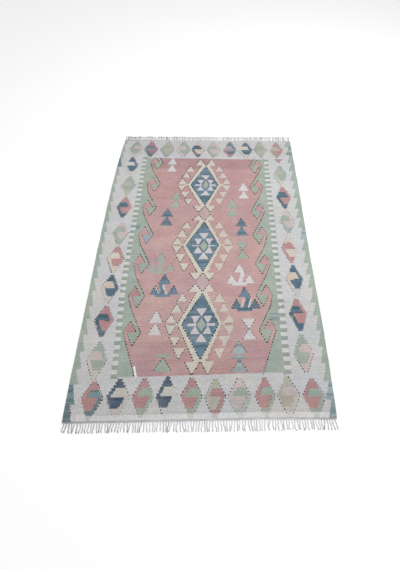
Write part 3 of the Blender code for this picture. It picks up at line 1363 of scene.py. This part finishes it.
def woven_wool():
    """The dye, a little dusty and warmer or cooler by places, times 1 plus streaks, heather,
    grain, blotches, wash and painted shade between the ribs. Ribs, picks and heather are a bump."""
    bench = Bench("woven_wool")
    dye = bench.kept("dye", "Color")
    streak = bench.noise(STREAK, 3.0) * STREAK_DEPTH
    fine_streak = bench.noise(FINE_STREAK) * FINE_STREAK_DEPTH
    heather = bench.noise(HEATHER)
    grain = bench.noise(GRAIN, 2.0, GRAIN_ROUGH) * GRAIN_DEPTH
    blotch = bench.noise(BLOTCH, 4.0)
    wash = bench.noise(WASH) * WASH_DEPTH
    across, along = bench.parts()
    rib = (across * (2.0 * np.pi / RIB_PITCH)).math_of("SINE")
    pick = (along * (2.0 * np.pi / PICK_PITCH)).math_of("SINE")
    tone = 1.0 + streak + fine_streak + heather * HEATHER_DEPTH + blotch * BLOTCH_DEPTH + wash
    # Painted shade: the colour darkens a little in the hollows between the ribs.
    tone = tone + grain + rib * RIB_PAINTED_SHADE
    dusty = bench.mix(blotch * DUST_BLOTCH + DUST_LEAST, dye, (*linear(DUST), 1.0))
    drift = bench.noise(HUE_DRIFT, 3.0) * HUE_DRIFT_DEPTH
    hue = drift + bench.noise(HUE_SPECKLE, 1.0) * HUE_SPECKLE_DEPTH
    warmth = bench.node("ShaderNodeCombineXYZ", {},
                        {0: 1.0 + hue * RED_SHARE, 1: 1.0, 2: 1.0 - hue})
    dusty = bench.node("ShaderNodeVectorMath", {"operation": "MULTIPLY"}, {0: dusty, 1: warmth})
    height = rib * RIB_HIGH + pick * PICK_HIGH + heather * HEATHER_HIGH
    bench.feed(bench.shader, {
        "Base Color": bench.scale(dusty, tone),
        "Roughness": 0.92 + heather * 0.1,
        "Specular IOR Level": 0.25,
        "Sheen Weight": 0.12,
        "Sheen Roughness": 0.6,
        "Normal": bench.bump(height, RELIEF, RELIEF_STRENGTH),
    })
    return bench.material


cloth = make_cloth(woven_wool())
print("cloth triangles", triangles(cloth))

# %% [markdown]
# ## The outline yarn, and painted slit shadow
# The dark outlines are wrapped: an extra dark yarn goes over two or three warps and back, about
# once in every dozen picks, so it stands on the cloth as a row of beads. Each bead is a low
# dome, longer along the rug than across it, and all of them are one mesh. Their near-black is
# the dark yarn together with painted shadow: the shadow in the slit that opens at each step
# of a slanting edge.

# %% Outline stitches
STITCH_SEED = 5
STITCH_WIDE = 0.0098
STITCH_HIGH = 0.0142
STITCH_PROUD = 0.0008
STITCH_SUNK = 0.0004
STITCH_SIDES = 8
STITCH_SHOULDER = 0.66
STITCH_SLANT = 0.6
STITCH_CROWN = 0.72
KEPT_LEAST = 0.45
KEPT_MORE = 0.75
STRAY_ACROSS = 0.0012
STRAY_ALONG = 0.0020
SIZE_LEAST = 0.76
SIZE_MORE = 0.5
# Darkest and palest stitch colours: dark yarn, with painted shadow of the slits in its near-black.
STRONG_YARN_AND_SLIT_SHADE = (0.03, 0.03, 0.04)
WEAK_YARN_AND_SLIT_SHADE = (0.48, 0.44, 0.42)
WEAKENING = 1.15
SHADE_SPREAD = 0.3
SHADE_MIDDLE = 0.4
FIBRE = (500.0, 1400.0, 500.0)
FAR_GROWTH = 0.08
STITCH_END = -119.5


def ring(sides):
    """Angles round a circle."""
    return 2.0 * np.pi * np.arange(sides) / sides


def yarn_and_slit_shade():
    """Nearly black: dark wool together with painted shadow of the slits. Its shade is kept for
    each stitch, with fine fibres across it.
    """
    bench = Bench("outline_yarn_and_slit_shade")
    fibre = bench.noise(FIBRE)
    bench.feed(bench.shader, {
        "Base Color": bench.scale(bench.kept("dye", "Color"), 1.0 + fibre * 0.8),
        "Roughness": 0.9 + fibre * 0.1,
        "Specular IOR Level": 0.2,
        "Normal": bench.bump(fibre, 0.0002, 0.5),
    })
    return bench.material


def dome_points(x, y, size, slope):
    """Points of domes: a lower ring just under the surface, a shoulder ring, and a middle
    point. A point is the dome's middle + size * (cos a across, sin a along), and what lies
    further along is moved sideways by its share of the slope."""
    slant = STITCH_SLANT * np.clip(slope, -1.0, 1.0)[:, None]
    angle = ring(STITCH_SIDES)
    levels = ((1.0, -STITCH_SUNK), (STITCH_SHOULDER, STITCH_CROWN * STITCH_PROUD), (0.0, STITCH_PROUD))
    rings = []
    for spread, lift in levels:
        across = 0.5 * STITCH_WIDE * spread * np.outer(size, np.cos(angle))
        along = 0.5 * STITCH_HIGH * spread * np.outer(size, np.sin(angle))
        px = x[:, None] + across + slant * along
        py = y[:, None] + along
        rings.append(np.stack((px, py, top_level(px, py) + lift), axis=-1))
    return np.concatenate((rings[0], rings[1], rings[2][:, :1]), axis=1)


def dome_faces(count, size):
    """Walls, crown triangles and base of domes whose points follow one another."""
    number = np.arange(STITCH_SIDES)
    after = np.roll(number, -1)
    wall = np.stack((number, after, after + STITCH_SIDES, number + STITCH_SIDES), axis=-1)
    peak = np.full(STITCH_SIDES, 2 * STITCH_SIDES)
    crown = np.stack((number + STITCH_SIDES, after + STITCH_SIDES, peak), axis=-1)
    base = number[None, ::-1]
    offset = (np.arange(count) * size)[:, None, None]
    faces = []
    for part in (wall, crown, base):
        faces += (part[None] + offset).reshape(-1, part.shape[1]).tolist()
    return faces


def make_stitches(material):
    """A dome for each stitch. Weak stitches are smaller and paler, and more of them are worn
    away. Each strays a little from its contour."""
    chance = np.random.default_rng(STITCH_SEED)
    rows = np.array(cartoon.stitches)
    draws = chance.uniform(0.0, 1.0, (len(rows), 5))
    kept = (draws[:, 0] < KEPT_LEAST + KEPT_MORE * rows[:, 3]) & (rows[:, 1] > STITCH_END)
    rows = rows[kept]
    draws = draws[kept]
    strength = rows[:, 3]
    x = rows[:, 0] * CM + PATTERN_MIDDLE + STRAY_ACROSS * (draws[:, 1] - 0.5)
    y = rows[:, 1] * CM + STRAY_ALONG * (draws[:, 2] - 0.5)
    size = (0.5 + 0.5 * strength) * (SIZE_LEAST + SIZE_MORE * draws[:, 3]) * (1.0 + FAR_GROWTH * y)
    points = dome_points(x, y, size, rows[:, 2])
    piece = add_piece("outline_stitches", points, dome_faces(*points.shape[:2]), material)
    # Strong stitches are near-black: dark yarn plus painted slit shadow.
    strong = linear(STRONG_YARN_AND_SLIT_SHADE)
    spread = SHADE_SPREAD * (draws[:, 4] - SHADE_MIDDLE)
    blend = np.clip(WEAKENING * (1.0 - strength) + spread, 0.0, 1.0)
    shade = strong + (linear(WEAK_YARN_AND_SLIT_SHADE) - strong) * blend[:, None]
    keep_values(piece.data, "dye", "POINT", shade.repeat(points.shape[1], axis=0))
    return piece


stitches = make_stitches(yarn_and_slit_shade())
print("stitches", len(stitches.data.vertices) // (2 * STITCH_SIDES + 1), "triangles",
      triangles(stitches))

# %% [markdown]
# ## The fringe
# The warps themselves are the fringe. Past the last pick they are drawn together in small
# locks, and the plies of each lock twist round one another and loosen at the tip. A lock lies
# on the floor, and its plies are three tubes that wind about its path. The paths repeat the
# solids' own, with the same draws, and a little curl is added to them.

# %% Paths of the locks
PARTING = 0.0003
HEADING_DEPTH = 0.008
FRINGE_REACH = 1.290
LOCKS = 100
LOCK_ROOT_WIDTH = 0.0062
LOCK_TIP_WIDTH = 0.0042
LOCK_SHORTFALL = 0.009
LOCK_LEAN = 0.0070
LOCK_SWAY = 0.0022
LOCK_MARGIN = 0.0045
LOCK_SEEDS = {"near": 41, "far": 67}
OUTWARD = {"near": -1.0, "far": 1.0}
END_SHARES = {"near": 0.0, "far": 1.0}
PLIES = 3
PLY_SIDES = 6
PLY_STATIONS = 34
PLY_TURNS = 4.2
PLY_LOOSE_FROM = 0.62
CURL_SEED = 23
TONE_SEED = 5
CURL = 0.0036
CURL_LEAST = 0.6
CURL_WAVES = 0.7
CURL_SPREAD = 0.3
KINKS = {"near": 0.0016, "far": 0.00544}
KINK_WAVES = 2.2


def smooth_noise(chance, count):
    """Values from -1 to 1, each a blend of its neighbours' draws, so they change slowly."""
    draws = chance.uniform(-1.0, 1.0, count + 2)
    blended = 0.25 * draws[:-2] + 0.5 * draws[1:-1] + 0.25 * draws[2:]
    return blended / np.abs(blended).max()


def lock_paths(edge, stage):
    """X and Y of each lock at each stage from root to tip: lean grows evenly, sway is one wave,
    and curl and kinks are a slower and a quicker wave that grow towards the tip."""
    seed = LOCK_SEEDS[edge]
    chance = np.random.default_rng(seed)
    centres = (np.arange(LOCKS) + 0.5) / LOCKS
    end_left, end_right = selvedges(end_edge(0.5, edge))
    inset = LOCK_MARGIN / (end_right - end_left)
    centres = inset + centres * (1.0 - 2.0 * inset)
    lean = LOCK_LEAN * smooth_noise(chance, LOCKS)
    sway = LOCK_SWAY * smooth_noise(chance, LOCKS)
    shortfall = LOCK_SHORTFALL * np.abs(smooth_noise(chance, LOCKS))
    shortfall -= shortfall.min()
    root_x, root_y = place_on_cloth(centres, END_SHARES[edge])
    root_y = root_y + OUTWARD[edge] * (PARTING + HEADING_DEPTH)
    run = OUTWARD[edge] * (FRINGE_REACH - shortfall) - root_y
    draws = np.random.default_rng(seed + CURL_SEED).uniform(-1.0, 1.0, (3, LOCKS))
    own, slower, start = draws[..., None]
    wave = np.sin(2.0 * np.pi * ((CURL_WAVES + CURL_SPREAD * slower) * stage + start))
    wave = (wave - np.sin(2.0 * np.pi * start)) * stage
    x = root_x[:, None] + lean[:, None] * stage + sway[:, None] * np.sin(2.0 * np.pi * stage)
    x = x + CURL * (CURL_LEAST + own) * wave
    x = x + KINKS[edge] * stage * np.sin(2.0 * np.pi * (KINK_WAVES * stage + own))
    return x, root_y[:, None] + run[:, None] * stage


# %% Tubes along paths
def beside_path(paths):
    """Unit directions sideways and upward along paths of points."""
    tangent = np.gradient(paths, axis=-2)
    tangent /= np.linalg.norm(tangent, axis=-1, keepdims=True)
    sideways = np.cross((0.0, 0.0, 1.0), tangent)
    sideways /= np.linalg.norm(sideways, axis=-1, keepdims=True)
    return sideways, np.cross(tangent, sideways)


def tubes(paths, radius, sides):
    """Points and faces of closed tubes: path + radius * (cos a * sideways + sin a * upward)."""
    sideways, upward = beside_path(paths)
    angle = ring(sides)[:, None]
    points = (paths[..., None, :] + radius[..., None, None]
              * (np.cos(angle) * sideways[..., None, :] + np.sin(angle) * upward[..., None, :]))
    count, length = paths.shape[:2]
    numbers = np.arange(count * length * sides).reshape(count, length, sides)
    turned = np.roll(numbers, -1, axis=-1)
    wall = np.stack((numbers[:, :-1], turned[:, :-1], turned[:, 1:], numbers[:, 1:]), axis=-1)
    faces = wall.reshape(-1, 4).tolist()
    faces += numbers[:, 0, ::-1].tolist() + numbers[:, -1].tolist()
    return points, faces


print("locks", LOCKS, "at each end, of", PLIES, "plies")


# %% Undyed yarn
DARKER_PAST = 1.245
PAST_END_DARKENING = 5.0
SIDE_CHANGE = 0.20
SIDE_GREYING = 0.45
MIDDLE_LIFT = 0.13
YARN_FIBRE = (900.0, 500.0, 900.0)
RADII_IN_WIDTH = 4.3
PLY_OFFSET = 1.12
LOOSE_OFFSET = 1.3
LOOSE_POWER = 1.5
LOOSE_SINKING = 0.8
TWIST_LEAST = 0.85
TWIST_SPREAD = 0.3
UNTWISTING = 0.35
PATCH_STRETCH = np.array((1.0, 0.5, 1.0))


def undyed_yarn(name, colour, patch_size, patch_depth):
    """Off-white yarn: fine fibres, each lock's own tone, soft greying in patches, and a slow
    change across: greyer at both sides than in the middle, and most so on the left. It darkens
    past the rug's ends."""
    bench = Bench(name)
    across, along = bench.parts()
    past = along.math_of("ABSOLUTE") - DARKER_PAST
    past_end_darkening = past.math("MAXIMUM", past, 0.0) * PAST_END_DARKENING
    fibre = bench.noise(YARN_FIBRE)
    patchy = bench.noise(tuple(PATCH_STRETCH / patch_size))
    sides = across * SIDE_CHANGE - across * across * SIDE_GREYING + MIDDLE_LIFT
    tone = bench.kept("tone", "Fac") + fibre * 0.8 + patchy * patch_depth + sides - past_end_darkening
    bench.feed(bench.shader, {
        "Base Color": bench.scale(tuple(linear(colour)), tone),
        "Roughness": 0.9 + fibre * 0.1,
        "Specular IOR Level": 0.25,
        "Sheen Weight": 0.1,
        "Normal": bench.bump(fibre, 0.0003, 0.5),
    })
    return bench.material


def make_locks(edge, material, dark, light):
    """Each lock has its own tone between dark and light. Each ply winds round its lock's path,
    a third of a turn from the next, and its offset from the path grows past the loosening
    stage, where it also sinks to the floor."""
    seed = LOCK_SEEDS[edge]
    stage = np.linspace(0.0, 1.0, PLY_STATIONS)
    x, y = lock_paths(edge, stage)
    width = LOCK_ROOT_WIDTH + (LOCK_TIP_WIDTH - LOCK_ROOT_WIDTH) * stage
    radius = width / RADII_IN_WIDTH
    loose = np.clip((stage - PLY_LOOSE_FROM) / (1.0 - PLY_LOOSE_FROM), 0.0, 1.0) ** LOOSE_POWER
    offset = radius * (PLY_OFFSET + LOOSE_OFFSET * loose)
    draws = np.random.default_rng(seed + 1).uniform(0.0, 1.0, (2, LOCKS))
    ply = np.arange(PLIES) / PLIES
    twist = PLY_TURNS * (TWIST_LEAST + TWIST_SPREAD * draws[0])[:, None, None]
    turns = (twist * (stage - UNTWISTING * loose * stage)
             + draws[1][:, None, None] + ply[None, :, None])
    rise = 1.0 + np.sin(2.0 * np.pi * turns) * (1.0 - LOOSE_SINKING * loose)
    height = radius + PLY_OFFSET * radius * rise
    side = offset * np.cos(2.0 * np.pi * turns)
    px = x[:, None, :] + side
    py = np.broadcast_to(y[:, None, :], px.shape)
    paths = np.stack((px, py, np.broadcast_to(height, px.shape)), axis=-1)
    paths = paths.reshape(LOCKS * PLIES, PLY_STATIONS, 3)
    points, faces = tubes(paths, np.broadcast_to(radius, paths.shape[:2]), PLY_SIDES)
    piece = add_piece(f"{edge}_locks", points, faces, material)
    tones = np.random.default_rng(seed + TONE_SEED).uniform(dark, light, LOCKS)
    keep_values(piece.data, "tone", "POINT", tones.repeat(PLIES * PLY_STATIONS * PLY_SIDES))
    return piece


near_yarn = undyed_yarn("near_yarn", (0.79, 0.79, 0.80), patch_size=0.016, patch_depth=0.6)
# The far locks are a darker, patchier copy of the same yarn, and some are nearly black.
darker_far_yarn = undyed_yarn("darker_far_yarn", (0.66, 0.65, 0.65), patch_size=0.022, patch_depth=2.4)
near_locks = make_locks("near", near_yarn, dark=0.75, light=1.15)
far_locks = make_locks("far", darker_far_yarn, dark=0.15, light=1.5)
print("lock triangles", triangles(near_locks), triangles(far_locks))

# %% [markdown]
# ## The heading
# Before the warps are let go, two cords of grey yarn are twined across them, so that the last
# picks cannot slip off. Each cord is two yarns that wind round each other.

# %% Headings
CORD_ROWS = 2
CORD_PITCH = 0.0105
CORD_STEPS = 6
CORD_SIDES = 5
CORD_YARNS = 2
CORD_SWELL = 0.0003
CORD_WANDER = 0.0006
CORD_WANDER_PITCH = 0.31
CORD_ENDS = (0.001, 0.999)
CORD_SWING = 0.8
CORD_HEIGHT = 1.9
CORD_RISE = 0.75


def make_heading(edge, material):
    """Each yarn winds round its cord's line by radius * (swing * cos a, rise * sin a), and a
    turns once each pitch. The cords lie side by side in the heading's depth and wander a
    little."""
    count = int(CLOTH_WIDTH / CORD_PITCH) * CORD_STEPS
    x, y = place_on_cloth(np.linspace(*CORD_ENDS, count), END_SHARES[edge])
    radius = HEADING_DEPTH / (4.0 * CORD_ROWS) + CORD_SWELL
    paths = []
    for row in range(CORD_ROWS):
        depth = PARTING + HEADING_DEPTH * (row + 0.5) / CORD_ROWS
        wander = CORD_WANDER * np.sin(2.0 * np.pi * x / CORD_WANDER_PITCH + row)
        middle = y + OUTWARD[edge] * depth + wander
        for yarn in range(CORD_YARNS):
            turn = 2.0 * np.pi * (x / CORD_PITCH + yarn / CORD_YARNS + 0.5 * row)
            level = CORD_HEIGHT * radius + CORD_RISE * radius * np.sin(turn)
            swing = CORD_SWING * radius * np.cos(turn)
            paths.append(np.stack((x, middle + swing, level), axis=-1))
    paths = np.array(paths)
    points, faces = tubes(paths, np.full(paths.shape[:2], radius), CORD_SIDES)
    piece = add_piece(f"{edge}_heading", points, faces, material)
    keep_values(piece.data, "tone", "POINT", np.ones(len(piece.data.vertices)))
    return piece


near_grey = undyed_yarn("near_cord_yarn", (0.75, 0.75, 0.75), patch_size=0.05, patch_depth=0.6)
far_grey = undyed_yarn("far_cord_yarn", (0.74, 0.74, 0.74), patch_size=0.03, patch_depth=0.6)
near_heading = make_heading("near", near_grey)
far_heading = make_heading("far", far_grey)
print("heading triangles", triangles(near_heading), triangles(far_heading))

# %% [markdown]
# ## What each piece stands for
# Every piece rides on the one body, and the cloth and the locks take the place of the plain
# solids.

# %% Pieces on the body
pieces = (cloth, stitches, near_locks, far_locks, near_heading, far_heading)
for piece in pieces:
    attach(piece, "root")
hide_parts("cloth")
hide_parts("near_fringe")
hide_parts("far_fringe")
